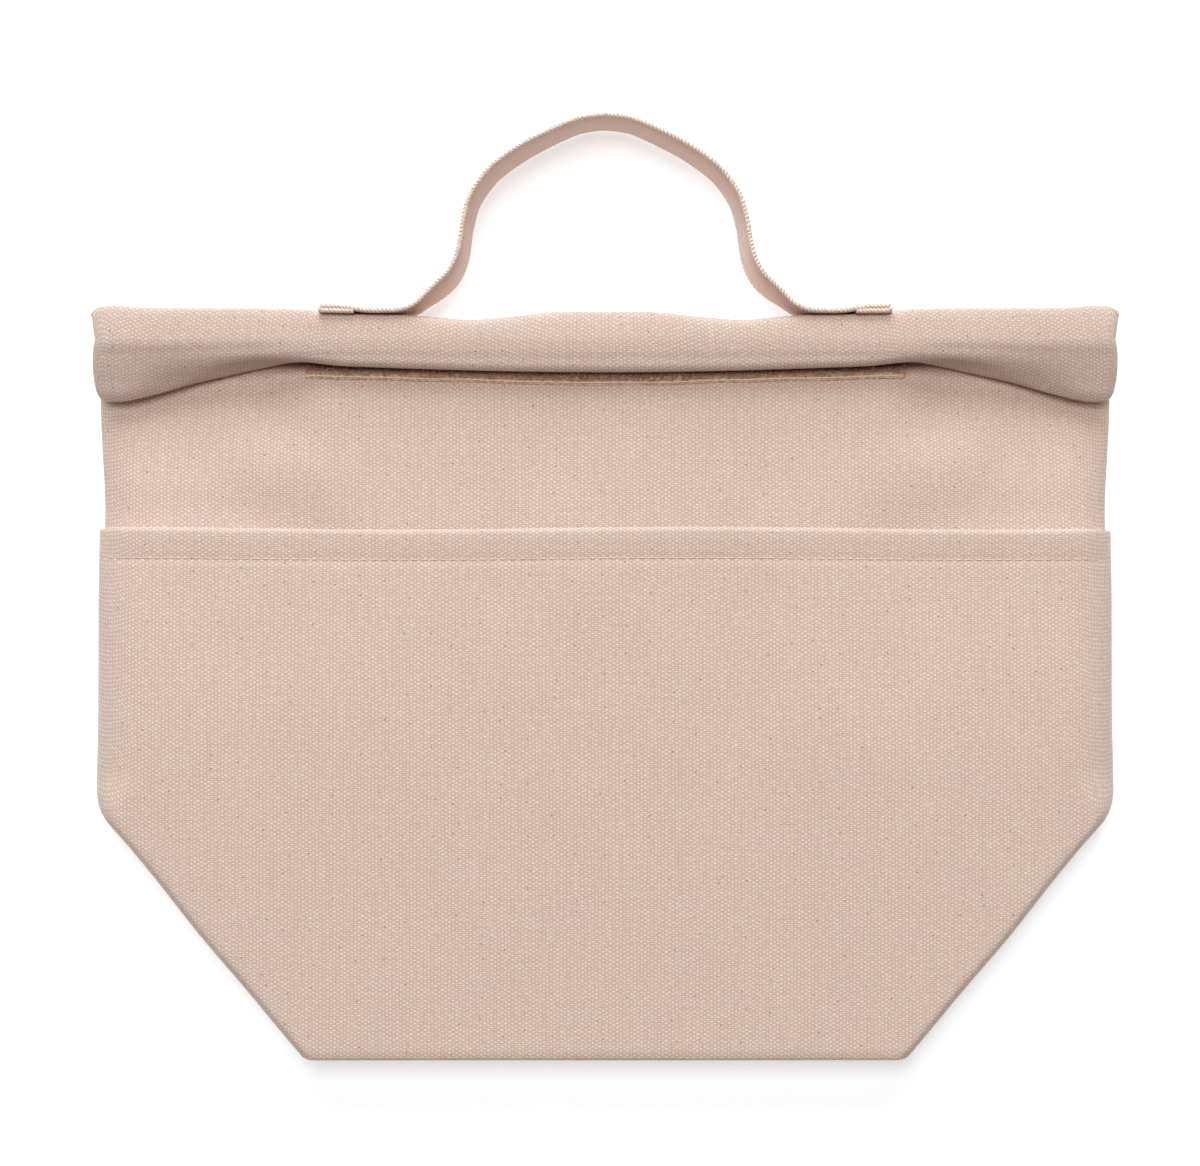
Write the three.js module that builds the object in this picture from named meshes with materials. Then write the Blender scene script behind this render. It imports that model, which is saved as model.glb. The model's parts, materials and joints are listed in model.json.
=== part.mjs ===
// Cotton cooler bag with a rolled and taped mouth, a full width front pocket and a webbing
// handle, laid flat on its back. Millimetres, +X across the bag, +Y from the bottom edge to
// the handle, +Z up out of the front of the bag. The origin is on the floor, in the middle
// of the footprint.
//
// The mouth of the bag is a double wall that is rolled over four fold lines. Each strip
// between two folds is drawn flat, in its own frame, and hangs on the strip before it, so
// one turn of a quarter at every fold rolls the band up.

import * as THREE from 'three';

// Layers of the wall
const canvas = 0.8;
const foam = 1.6;
const foil = 0.3;
const layerGap = 0.2;
const seatGap = 0.2;

// Outline of the bag, laid flat
const outlineWidth = 340.8;
const baseWidth = 202;
const cornerHeight = 84.5;
const baseDepth = 150;
const ridgeHeight = 248.8;
const sideRound = 14;
const bottomRound = 8;
const tipRound = 6;
const seamOverhang = 1.4;

// Room between the two walls, and how it closes towards the mouth
const roomDepth = 4.8;
const taperStart = 190;
const bandStart = 224;
const baseStep = 36;

// Front pocket
const pocketHeight = 178.5;
const pocketRoom = 4.6;
const pocketHem = 10.3;
const hemFold = 1.0;

// Inside seam binding
const bindingWidth = 8;
const bindingThickness = 1.1;

// Rolled mouth
const mouthGap = 0.3;
const rollWidth = 343.6;
const rollHeight = 18;
const foldClear = 0.3;
const rollGap = 0.4;
const lipGap = 0.6;
const lipCorner = 0.8;
const endSag = 10.6;
const sagRun = 60;
const sagEndRound = 9;

// Hook and loop tape
const tapeLength = 201;
const tapeThickness = 1.2;
const tapeGap = 0.5;
const loopTapeWidth = 16;
const hookTapeMargin = 0.6;

// Webbing handle
const webbing = 25;
const webbingThickness = 1.8;
const webbingLift = 0.4;
const archRadius = 48.6;
const archRise = 18;
const footReach = 94.1;
const footTuck = 24;
const footBend = 13.5;
const lapGap = 0.3;

// Sizes that follow from the ones above
const wall = canvas + foam + foil + 2 * layerGap;
const bodyThickness = 2 * wall + roomDepth;
const bandThickness = 2 * wall + mouthGap;
const half = bandThickness / 2;
const socket = half + foldClear;
const lift = wall + seatGap;
const neckLength = ridgeHeight - half - bandStart;
const lipLevel = bandThickness + 2 * (seatGap + tapeThickness) + tapeGap + half;
const flapLevel = lipLevel + bandThickness + rollGap;
const ridgeLength = flapLevel - half;
const flapLength = rollHeight - bandThickness;
const turnLength = flapLevel - lipLevel;
const lipLength = flapLength - half - lipGap;
const tapeHalf = tapeLength / 2;
const overallLength = ridgeHeight + archRise + archRadius;
const pocketLevel = lift + bodyThickness + pocketRoom;

const materials = {
  canvas: new THREE.MeshStandardMaterial({ color: 0xdcc6b8, roughness: 0.95, metalness: 0 }),
  webbing: new THREE.MeshStandardMaterial({ color: 0xcfb2a4, roughness: 0.95, metalness: 0 }),
  foam: new THREE.MeshStandardMaterial({ color: 0xf2f0ea, roughness: 0.9, metalness: 0 }),
  foil: new THREE.MeshStandardMaterial({ color: 0xc9ccd0, roughness: 0.35, metalness: 0.8 }),
  loop: new THREE.MeshStandardMaterial({ color: 0x7c6254, roughness: 1, metalness: 0 }),
  hook: new THREE.MeshStandardMaterial({ color: 0x8a7062, roughness: 0.8, metalness: 0 }),
  binding: new THREE.MeshStandardMaterial({ color: 0xd8c2b4, roughness: 0.95, metalness: 0 }),
};

// Shared helpers

const clamp01 = (q) => Math.min(1, Math.max(0, q));

function smooth(value, from, to) {
  const q = clamp01((value - from) / (to - from));
  return q * q * (3 - 2 * q);
}

function arc(centre, radius, from, to, steps) {
  const points = [];
  for (let i = 0; i <= steps; i += 1) {
    const angle = THREE.MathUtils.degToRad(from + ((to - from) * i) / steps);
    points.push([centre[0] + radius * Math.cos(angle), centre[1] + radius * Math.sin(angle)]);
  }
  return points;
}

function piece(name, geometry, material) {
  const mesh = new THREE.Mesh(geometry, material);
  mesh.name = name;
  return mesh;
}

// A closed surface from points and faces, with its faces turned outwards.
function closedGeometry(points, faces) {
  let volume = 0;
  for (const [a, b, c] of faces) {
    volume += points[a].dot(new THREE.Vector3().crossVectors(points[b], points[c])) / 6;
  }
  const geometry = new THREE.BufferGeometry();
  geometry.setAttribute(
    'position',
    new THREE.Float32BufferAttribute(points.flatMap((p) => [p.x, p.y, p.z]), 3),
  );
  geometry.setIndex(faces.flatMap(([a, b, c]) => (volume > 0 ? [a, b, c] : [a, c, b])));
  geometry.computeVertexNormals();
  return geometry;
}

// A shell between two grids of points that have the same rows and columns.
function shellGeometry(outer, inner) {
  const rows = outer.length;
  const columns = outer[0].length;
  const count = rows * columns;
  const points = [...outer.flat(), ...inner.flat()];
  const faces = [];
  const at = (layer, row, column) => layer * count + row * columns + column;
  const quad = (a, b, c, d) => faces.push([a, b, c], [a, c, d]);
  for (let row = 0; row < rows - 1; row += 1) {
    for (let column = 0; column < columns - 1; column += 1) {
      for (const layer of [0, 1]) {
        const corners = [
          at(layer, row, column),
          at(layer, row, column + 1),
          at(layer, row + 1, column + 1),
          at(layer, row + 1, column),
        ];
        quad(...(layer ? corners.reverse() : corners));
      }
    }
  }
  const rim = [];
  for (let column = 0; column < columns; column += 1) rim.push([0, column]);
  for (let row = 1; row < rows; row += 1) rim.push([row, columns - 1]);
  for (let column = columns - 2; column >= 0; column -= 1) rim.push([rows - 1, column]);
  for (let row = rows - 2; row >= 1; row -= 1) rim.push([row, 0]);
  rim.forEach((here, i) => {
    const next = rim[(i + 1) % rim.length];
    quad(at(0, ...next), at(0, ...here), at(1, ...here), at(1, ...next));
  });
  return closedGeometry(points, faces);
}

// A solid lofted across the bag from one (y, z) outline to the next.
function acrossGeometry(stations, outlineAt) {
  const outlines = stations.map((x) => outlineAt(x));
  const size = outlines[0].length;
  const points = [];
  outlines.forEach((outline, i) => {
    outline.forEach(([y, z]) => points.push(new THREE.Vector3(stations[i], y, z)));
  });
  const faces = [];
  for (let i = 0; i < stations.length - 1; i += 1) {
    for (let j = 0; j < size; j += 1) {
      const next = (j + 1) % size;
      const [a, b] = [i * size + j, i * size + next];
      faces.push([a, b, b + size], [a, b + size, a + size]);
    }
  }
  const cap = (outline) =>
    THREE.ShapeUtils.triangulateShape(outline.map(([y, z]) => new THREE.Vector2(y, z)), []);
  const last = (stations.length - 1) * size;
  const clockwise = THREE.ShapeUtils.isClockWise(
    outlines[0].map(([y, z]) => new THREE.Vector2(y, z)),
  );
  const facing = (triangle, flip) => (flip ? [...triangle].reverse() : triangle);
  for (const triangle of cap(outlines[0])) faces.push(facing(triangle, !clockwise));
  for (const triangle of cap(outlines[outlines.length - 1])) {
    faces.push(facing(triangle.map((k) => k + last), clockwise));
  }
  return closedGeometry(points, faces);
}

// A flat outline in X and Y, raised along Z.
function raised(outline, height, bottom) {
  const shape = new THREE.Shape(outline.map(([x, y]) => new THREE.Vector2(x, y)));
  const geometry = new THREE.ExtrudeGeometry(shape, { depth: height, bevelEnabled: false });
  geometry.translate(0, 0, bottom);
  return geometry;
}

// The body of the bag: its outline, and the height of its two faces along its length

const diagonal = (outlineWidth - baseWidth) / 2 / cornerHeight;
const diagonalInset = Math.hypot(1, diagonal);

function outlineHalf(y) {
  const straight = outlineWidth / 2;
  const slanted = baseWidth / 2 + y * diagonal;
  const blend = tipRound * diagonal;
  const gap = straight - slanted;
  if (gap >= blend) return slanted;
  if (gap <= -blend) return straight;
  return slanted - (blend - gap) ** 2 / (4 * blend);
}

const backFace = (y) => lift * (1 - smooth(y, baseDepth, baseDepth + baseStep));
const closing = (y) => (bodyThickness - bandThickness) * smooth(y, taperStart, bandStart);
const frontFace = (y) => backFace(y) + bodyThickness - closing(y);
const seamLevel = (y) => backFace(y) + half;
const frontRise = (y) => frontFace(y) - seamLevel(y);
const backRise = (y) => seamLevel(y) - backFace(y);

const roundSteps = [0, 12, 28, 52, 90];
const stepRows = [0, 1 / 3, 2 / 3, 1].map((share) => baseDepth + baseStep * share);
const taperRows = [0, 1 / 6, 1 / 3, 1 / 2, 2 / 3, 5 / 6].map(
  (share) => taperStart + (bandStart - taperStart) * share,
);

// The back wall lies flat almost to the side seam, and the front wall arches over it.
// One face of a layer, as rows of points from side seam to side seam. The layer lies
// `inset` inside the outline, and `height` is its rise over the seam at each y.
function layerFace(inset, height, side, top, extraRows = []) {
  const start = inset;
  const round = bottomRound - inset;
  const levels = roundSteps.map((a) => {
    const angle = THREE.MathUtils.degToRad(a);
    return { y: start + round * (1 - Math.cos(angle)), share: Math.sin(angle) };
  });
  const firstFlat = start + round;
  const between = [
    24,
    48,
    cornerHeight - 2 * tipRound,
    cornerHeight - tipRound,
    cornerHeight,
    cornerHeight + tipRound,
    cornerHeight + 2 * tipRound,
    ...stepRows,
    ...taperRows,
    ...extraRows,
  ];
  const flat = between.filter((y) => y > firstFlat + 1 && y < top - 0.05).sort((a, b) => a - b);
  for (const y of [...flat, top]) levels.push({ y, share: 1 });
  return levels.map(({ y, share }) => {
    const lean = y < cornerHeight ? diagonalInset : 1;
    const width = outlineHalf(y) - inset * lean;
    const reach = sideRound - inset;
    const rise = height(y) * share;
    const across = [];
    for (const a of roundSteps) {
      const angle = THREE.MathUtils.degToRad(a);
      across.push([width - reach * (1 - Math.cos(angle)), rise * Math.sin(angle)]);
    }
    across.push([(width - reach) / 2, rise]);
    const points = across.map(([x, z]) => [-x, z]);
    points.push([0, rise]);
    for (const point of across.reverse()) points.push(point);
    return points.map(([x, z]) => new THREE.Vector3(x, y, seamLevel(y) + side * z));
  });
}

// A layer of a wall, from `outside` to `inside` below the face of the wall.
function layer(name, side, outside, inside, top, material) {
  const rise = side > 0 ? frontRise : backRise;
  const face = (depth) =>
    layerFace(seamOverhang + depth, (y) => rise(y) - depth - layerGap, side, top);
  const geometry = shellGeometry(face(outside), face(inside));
  const mesh = piece(name, geometry, material);
  mesh.position.z = layerGap * side;
  return mesh;
}

function wallLayers(name, side) {
  const top = bandStart - foldClear;
  const foamTop = canvas + layerGap;
  const foilTop = foamTop + foam + layerGap;
  return [
    layer(`${name}_panel`, side, 0, canvas, top, materials.canvas),
    layer(`${name}_foam`, side, foamTop, foamTop + foam, top, materials.foam),
    layer(`${name}_lining`, side, foilTop, foilTop + foil, top, materials.foil),
  ];
}

// The pocket is one more layer over the front, with its top edge folded double.
function pocketPanel() {
  const hemStart = pocketHeight - pocketHem;
  const fold = (y) => (y >= hemStart ? hemFold : 0);
  const rows = [hemStart - hemFold, hemStart];
  const rise = (y) => pocketLevel - seamLevel(y) - layerGap;
  const outer = layerFace(0, (y) => rise(y) + canvas + fold(y), 1, pocketHeight, rows);
  const inner = layerFace(canvas, rise, 1, pocketHeight, rows);
  const mesh = piece('pocket_panel', shellGeometry(outer, inner), materials.canvas);
  mesh.position.z = layerGap;
  return mesh;
}

// The base is folded up flat behind the back wall, with a gusset at each end.
function basePanel() {
  const tip = outlineWidth / 2 - seamOverhang;
  const [start, end] = [baseWidth / 2 - seamOverhang, baseDepth];
  const outline = [
    [-start, seamOverhang],
    [start, seamOverhang],
    [tip - tipRound * diagonal, cornerHeight - tipRound],
    [tip, cornerHeight],
    [tip - tipRound, cornerHeight + tipRound],
    [start, end],
    [-start, end],
    [-tip + tipRound, cornerHeight + tipRound],
    [-tip, cornerHeight],
    [-tip + tipRound * diagonal, cornerHeight - tipRound],
  ];
  return piece('base_panel', raised(outline, wall, 0), materials.canvas);
}

// A binding tape over the raw side seam, inside the lining.
function sideBinding(name, side) {
  const edge = outlineWidth / 2 - seamOverhang - wall;
  const outerX = edge - layerGap - foil;
  const rows = [cornerHeight + 2 * tipRound, ...stepRows].map((y) => ({
    y,
    low: seamLevel(y) + layerGap,
    high: seamLevel(y) + layerGap + bindingThickness,
  }));
  const face = (level) =>
    rows.map((row) =>
      [outerX - bindingWidth - bindingThickness, outerX - bindingThickness].map(
        (x) => new THREE.Vector3(side * x, row.y, row[level]),
      ),
    );
  return piece(name, shellGeometry(face('high'), face('low')), materials.binding);
}

// The rolled mouth: strips of double wall. Each is drawn flat from its own fold at y = 0,
// with the back wall below z = 0 and the front wall above it.

const acrossBand = [-rollWidth / 2, rollWidth / 2];

function backWallOutline({ length, first, last }, bulge = 0) {
  const rise = mouthGap / 2;
  const start = first
    ? [[0, -rise], [0, -half]]
    : [-rise, -half * 0.6, -half].map((z) => [Math.sqrt(socket ** 2 - z ** 2), z]);
  const face = [];
  if (!last) {
    const from = start[start.length - 1][0];
    for (const share of [0.1, 0.25, 0.5, 0.75, 0.9]) {
      const swell = Math.sin(Math.acos(2 * share - 1));
      face.push([from + (length - from) * share, -half - bulge * swell]);
    }
  }
  const turn = THREE.MathUtils.radToDeg(Math.asin(rise / half));
  const end = last
    ? [[length - lipCorner, -half], [length, -half + lipCorner], [length, -rise]]
    : arc([length, 0], half, -90, -turn, 6);
  return [...start, ...face, ...end];
}

function frontWallOutline({ length, first, last }) {
  const rise = mouthGap / 2;
  const from = first ? 0 : socket;
  const turn = THREE.MathUtils.radToDeg(Math.asin(rise / half));
  const end = last
    ? [[length, rise], [length, half - lipCorner], [length - lipCorner, half]]
    : arc([length, 0], half, turn, 90, 6);
  return [[from, half], [from, rise], ...end];
}

// How far the loose end of the roll sags below the taped middle.
function sagAt(x) {
  const out = clamp01((Math.abs(x) - tapeHalf) / sagRun);
  const end = clamp01((rollWidth / 2 - Math.abs(x)) / sagEndRound);
  return endSag * (1 - (1 - out) ** 2) * Math.sqrt(1 - (1 - end) ** 2);
}

function sagStations() {
  const edge = rollWidth / 2;
  const right = [
    tapeHalf,
    ...[0.12, 0.28, 0.5, 0.75, 1].map((share) => tapeHalf + sagRun * share),
    edge - sagEndRound / 3,
    edge,
  ];
  return [...right.map((x) => -x).reverse(), ...right];
}

function strip(name, shape, sagging = false) {
  const back = sagging
    ? acrossGeometry(sagStations(), (x) => backWallOutline(shape, sagAt(x)))
    : acrossGeometry(acrossBand, () => backWallOutline(shape));
  const front = acrossGeometry(acrossBand, () => frontWallOutline(shape));
  const group = new THREE.Group();
  group.add(piece(`${name}_back_wall`, back, materials.canvas));
  group.add(piece(`${name}_front_wall`, front, materials.canvas));
  return group;
}

function tape(name, from, to, level, material) {
  const outline = [[from, level], [to, level], [to, level + tapeThickness], [from, level + tapeThickness]];
  return piece(name, acrossGeometry([-tapeHalf, tapeHalf], () => outline), material);
}

function rolledMouth() {
  const neck = strip('neck', { length: neckLength, first: true });
  neck.position.set(0, bandStart, half);
  const loopTo = neckLength - half - foldClear;
  neck.add(tape('loop_tape', loopTo - loopTapeWidth, loopTo, half + seatGap, materials.loop));

  const ridge = strip('ridge', { length: ridgeLength });
  ridge.position.y = neckLength;
  const flap = strip('flap', { length: flapLength });
  flap.position.y = ridgeLength;
  const turn = strip('turn', { length: turnLength }, true);
  turn.position.y = flapLength;
  const lip = strip('lip', { length: lipLength, last: true });
  lip.position.y = turnLength;
  const hookFrom = Math.sqrt(socket ** 2 - half ** 2) + hookTapeMargin;
  const hookTo = lipLength - lipCorner - hookTapeMargin;
  const hookLevel = -half - seatGap - tapeThickness;
  lip.add(tape('hook_tape', hookFrom, hookTo, hookLevel, materials.hook));

  for (const folded of [ridge, flap, turn, lip]) folded.rotation.x = Math.PI / 2;
  turn.add(lip);
  flap.add(turn);
  ridge.add(flap);
  neck.add(ridge);
  return neck;
}

// The handle: each end of the webbing is folded under itself, sewn along the ridge and
// bent up, and the arch between them swings on the bends.

function handleFoot(name, side) {
  const t = webbingThickness;
  const [lower, upper] = [seatGap, 2 * seatGap + t];
  const top = upper + t;
  const inner = archRadius + lapGap;
  const bendX = inner + t + footBend;
  const bendY = top + footBend;
  const endRound = (top - lower) / 2;
  const foldX = footReach - endRound;
  const foldY = (top + lower) / 2;
  const tuckEnd = footReach - footTuck;
  const outline = [
    [inner, archRise],
    ...arc([bendX, bendY], footBend + t, 180, 270, 8),
    ...arc([foldX, foldY], seatGap / 2, 90, -90, 2),
    [tuckEnd, lower + t],
    [tuckEnd, lower],
    ...arc([foldX, foldY], endRound, -90, 90, 8),
    ...arc([bendX, bendY], footBend, 270, 180, 8),
    [inner + t, archRise],
  ];
  const drawn = side > 0 ? outline : outline.map(([x, y]) => [-x, y]).reverse();
  const foot = piece(name, raised(drawn, webbing, webbingLift), materials.webbing);
  foot.position.y = ridgeHeight;
  return foot;
}

function handleArch() {
  const outline = [
    ...arc([0, 0], archRadius, 0, 180, 32),
    ...arc([0, 0], archRadius - webbingThickness, 180, 0, 32),
  ];
  const arch = piece('handle_strap', raised(outline, webbing, webbingLift), materials.webbing);
  arch.position.y = ridgeHeight + archRise;
  return arch;
}

const bag = new THREE.Group();
bag.position.y = -overallLength / 2;
bag.add(basePanel());
bag.add(...wallLayers('back', -1));
bag.add(...wallLayers('front', 1));
bag.add(pocketPanel());
bag.add(sideBinding('side_binding_left', -1));
bag.add(sideBinding('side_binding_right', 1));
bag.add(rolledMouth());
bag.add(handleFoot('handle_foot_left', -1));
bag.add(handleFoot('handle_foot_right', 1));
bag.add(handleArch());
bag.updateMatrixWorld(true);

export default bag;
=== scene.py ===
# %% [markdown]
# # A cotton cooler bag, laid flat
#
# The real object is a lunch bag of undyed cotton canvas with thin foam and a silvered film
# inside. It lies on its back on a white floor. The mouth is rolled forward and held by a brown
# hook and loop tape, a pocket as wide as the bag lies on the front, the boxed base is folded up
# behind, and a handle of webbing stands up from the rolled edge. The sizes and the joints come
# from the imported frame, and this script adds the cloth.

# %% Load the frame
import json
import math

import bpy
import numpy as np
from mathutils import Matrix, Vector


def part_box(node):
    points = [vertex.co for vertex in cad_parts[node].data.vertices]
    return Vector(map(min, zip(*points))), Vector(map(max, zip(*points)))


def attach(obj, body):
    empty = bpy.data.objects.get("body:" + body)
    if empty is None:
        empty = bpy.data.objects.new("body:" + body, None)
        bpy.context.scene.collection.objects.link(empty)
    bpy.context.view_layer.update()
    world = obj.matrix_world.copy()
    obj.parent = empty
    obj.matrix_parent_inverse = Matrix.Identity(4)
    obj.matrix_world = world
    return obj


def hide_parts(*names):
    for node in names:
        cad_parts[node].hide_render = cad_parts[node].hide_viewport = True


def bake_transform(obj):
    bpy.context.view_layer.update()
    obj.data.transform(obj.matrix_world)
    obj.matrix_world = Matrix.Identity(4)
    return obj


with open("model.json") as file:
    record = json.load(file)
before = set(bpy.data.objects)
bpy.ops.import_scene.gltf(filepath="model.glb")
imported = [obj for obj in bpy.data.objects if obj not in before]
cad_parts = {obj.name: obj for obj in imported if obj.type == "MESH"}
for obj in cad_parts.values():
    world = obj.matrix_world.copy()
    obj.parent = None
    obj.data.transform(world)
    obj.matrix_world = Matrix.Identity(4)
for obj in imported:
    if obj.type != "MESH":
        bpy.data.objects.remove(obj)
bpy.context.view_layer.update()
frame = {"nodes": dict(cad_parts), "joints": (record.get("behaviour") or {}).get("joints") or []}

# %% [markdown]
# ## One way to measure
#
# A bag maker measures up from the bottom edge. All shapes below are worked out in millimetres,
# with x across the bag, y up from the bottom edge and z up from the floor, and are moved into
# the frame's metres only when a mesh is made. The main heights are read from the frame, so the
# cloth lies where the construction says.

# %% Heights and widths of the bag
MM = 0.001
bottom_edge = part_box("pocket_panel")[0].y


def span(node, axis):
    """Lowest and highest value of a CAD node in mm, with y measured up from the bottom edge."""
    low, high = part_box(node)
    start = bottom_edge if axis == 1 else 0.0
    return (low[axis] - start) / MM, (high[axis] - start) / MM


def joint_place(joint):
    """Where the line of a joint lies, in metres in the row frame."""
    return next(j["pos_m"] for j in frame["joints"] if j["name"] == joint)


bag_half = span("pocket_panel", 0)[1]
pocket_top = span("pocket_panel", 1)[1]
base_top = span("base_panel", 1)[1]
base_thickness = span("base_panel", 2)[1]
front_level = span("front_panel", 2)[1]
band_thickness = span("neck_front_wall", 2)[1]
band_half = band_thickness / 2
ridge_face = span("ridge_back_wall", 1)[1]
print("bag half width", round(bag_half, 1), "pocket top", round(pocket_top, 1))
print("front level", round(front_level, 1), "ridge at", round(ridge_face, 1))

# %% [markdown]
# ## The camera
#
# The photograph looks straight down on the bag. The webbing of the handle is 25 mm wide, and
# its upper edge stands visibly nearer the lens than its lower one, which puts the lens about
# 850 mm above the floor. At that height the picture is 408 mm wide on the floor.

# %% Camera straight above the bag
LENS_HEIGHT = 850
VIEW_WIDTH = 408
SENSOR = 36
VIEW_CENTRE = (-1.7, 159.8)

camera = bpy.data.objects.new("camera", bpy.data.cameras.new("camera"))
bpy.context.scene.collection.objects.link(camera)
camera.data.sensor_width = SENSOR
camera.data.lens = SENSOR * LENS_HEIGHT / VIEW_WIDTH
camera.location = (VIEW_CENTRE[0] * MM, VIEW_CENTRE[1] * MM + bottom_edge, LENS_HEIGHT * MM)
bpy.context.scene.camera = camera
bpy.context.scene.view_settings.view_transform = "Standard"
bpy.context.scene.view_settings.look = "Medium High Contrast"
print("lens", round(camera.data.lens, 1), "mm")

# %% [markdown]
# ## Light and floor
#
# The picture is a studio shot on a lit white sweep. The shadows on the floor are short and fall
# to the right and down, so one soft box hangs almost overhead, a little to the upper left. The
# top of the roll and the fold of the hem are the brightest parts, so a second, wide one stands
# behind the handle. The sweep glows a little, which keeps it white and fills the sides of the
# bag with light, and the room is slightly warm, which makes the shaded cloth browner.

# %% Soft studio lights
SURROUND = 0.16
ROOM_TINT = (1.0, 0.90, 0.83, 1.0)
WHITE = (1.0, 1.0, 0.99)
COOL = (0.93, 1.0, 1.04)
LIGHTS = {
    "overhead": {"place": (-0.20, 0.76, 2.7), "size": 1.1, "power": 33.6, "tint": WHITE},
    "behind": {"place": (-0.10, 2.6, 1.5), "size": 2.0, "power": 57.0, "tint": COOL},
}

world = bpy.data.worlds.new("white_room")
world.use_nodes = True
room = world.node_tree.nodes["Background"]
room.inputs["Color"].default_value = ROOM_TINT
room.inputs["Strength"].default_value = SURROUND
bpy.context.scene.world = world


def soft_box(name, place, size, power, tint):
    """A square area light that faces the middle of the bag."""
    light = bpy.data.objects.new(name, bpy.data.lights.new(name, "AREA"))
    bpy.context.scene.collection.objects.link(light)
    light.data.size = size
    light.data.energy = power
    light.data.color = tint
    light.location = place
    light.rotation_mode = "QUATERNION"
    light.rotation_quaternion = (-light.location).to_track_quat("-Z", "Y")


for name, light in LIGHTS.items():
    soft_box(name, **light)
print("lights:", ", ".join(LIGHTS))

# %% White floor
FLOOR_HALF = 9.0
FLOOR_LEVEL = -0.0002
FLOOR_GLOW = 0.38
FLOOR_COLOUR = (0.78, 0.82, 0.86, 1)
CORNER_SIGNS = ((-1, -1), (1, -1), (1, 1), (-1, 1))

floor_mesh = bpy.data.meshes.new("floor")
floor_corners = [(x * FLOOR_HALF, y * FLOOR_HALF, FLOOR_LEVEL) for x, y in CORNER_SIGNS]
floor_mesh.from_pydata(floor_corners, [], [(0, 1, 2, 3)])
floor = bpy.data.objects.new("floor", floor_mesh)
bpy.context.scene.collection.objects.link(floor)
floor_paint = bpy.data.materials.new("white_sweep")
floor_paint.use_nodes = True
floor_shader = floor_paint.node_tree.nodes["Principled BSDF"]
floor_shader.inputs["Base Color"].default_value = FLOOR_COLOUR
floor_shader.inputs["Roughness"].default_value = 0.9
floor_shader.inputs["Specular IOR Level"].default_value = 0.0
floor_shader.inputs["Emission Color"].default_value = (1, 1, 1, 1)
floor_shader.inputs["Emission Strength"].default_value = FLOOR_GLOW
floor.data.materials.append(floor_paint)

# %% [markdown]
# ## Cloth as a mesh
#
# Every sheet here is sewn cloth with a thickness, so every sheet is a closed mesh: a grid of
# points for its outer face, one for its inner face, and a rim that joins them. Each point also
# keeps its place in the cloth, in millimetres along and across the threads. The weave is
# drawn from that place, so it follows every fold and stays put when the bag moves.

# %% Meshes from grids of points
EDGE_ANGLE = 50
ROUND_ANGLE = 180


def add_mesh(name, points, faces, cloth=None, sharp=EDGE_ANGLE):
    """A smooth shaded object in the row frame, with its place in the cloth as an attribute."""
    mesh = bpy.data.meshes.new(name)
    placed = np.asarray(points, float) * MM
    placed[:, 1] += bottom_edge
    mesh.from_pydata(placed.tolist(), [], faces)
    mesh.validate()
    if cloth is not None:
        spot = mesh.attributes.new("cloth", "FLOAT_VECTOR", "POINT")
        spot.data.foreach_set("vector", np.asarray(cloth, np.float32).ravel())
    mesh.polygons.foreach_set("use_smooth", [True] * len(mesh.polygons))
    mesh.set_sharp_from_angle(angle=math.radians(sharp))
    made = bpy.data.objects.new(name, mesh)
    bpy.context.scene.collection.objects.link(made)
    return made


def shell(name, outer, inner, cloth):
    """A closed sheet between two grids of points with the same rows and columns."""
    rows, columns = outer.shape[:2]
    count = rows * columns
    index = np.arange(count).reshape(rows, columns)
    a, b = index[:-1, :-1].ravel(), index[:-1, 1:].ravel()
    c, d = index[1:, 1:].ravel(), index[1:, :-1].ravel()
    top = np.stack([a, b, c, d], 1)
    under = np.stack([d, c, b, a], 1) + count
    rim = np.concatenate([index[0, :-1], index[:-1, -1], index[-1, :0:-1], index[:0:-1, 0]])
    after = np.roll(rim, -1)
    side = np.stack([after, rim, rim + count, after + count], 1)
    faces = np.concatenate([top, under, side])
    points = np.concatenate([outer.reshape(-1, 3), inner.reshape(-1, 3)])
    depth = np.linalg.norm(outer - inner, axis=2)[..., None]
    spots = np.concatenate([cloth.reshape(-1, 3), (cloth + depth * (1, 1, 0)).reshape(-1, 3)])
    triangles = np.concatenate([faces[:, [0, 1, 2]], faces[:, [0, 2, 3]]])
    first, second, third = (points[triangles[:, k]] for k in range(3))
    if np.einsum("ij,ij->i", first, np.cross(second, third)).sum() < 0:
        faces = faces[:, ::-1]
    return add_mesh(name, points, faces.tolist(), spots)


def ring_faces(index, flip=False):
    """The side faces of one or more tubes, from their point numbers (tube, ring, corner)."""
    after = np.roll(index, -1, axis=2)
    corners = [index[:, :-1], after[:, :-1], after[:, 1:], index[:, 1:]]
    if flip:
        corners = [corners[0], *corners[:0:-1]]
    return np.stack(corners, 3).reshape(-1, 4).tolist()


def ramp(value, start, end):
    """0 before start, 1 after end, and a soft step between."""
    q = np.clip((np.asarray(value, float) - start) / (end - start), 0, 1)
    return q * q * (3 - 2 * q)


def swell(value, centre, width):
    """A soft bump of height 1."""
    return np.exp(-(((np.asarray(value, float) - centre) / width) ** 2))


def length_along(line):
    """The distance from the first point of a line to each of its points."""
    return np.concatenate([[0], np.cumsum(np.linalg.norm(np.diff(line, axis=0), axis=1))])


# %% [markdown]
# ## The weave of the canvas
#
# Canvas is a plain weave: each thread passes over one and under the next. Seen from above, the
# tops of the warp threads are pale dots in a chequered order, and the weft lies lower and
# darker between them. The product of two sine waves has just that order, with one wave for each
# set of threads, and it gives both the bump and the colour: painted light on the raised tops and
# painted shade on the weft between them. In the photograph there are 1.16 mm from thread to
# thread across the bag and 0.70 mm along it. Nodes do this better than a picture would, because
# they hold at any zoom.

# %% Small helpers for shader nodes


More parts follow.
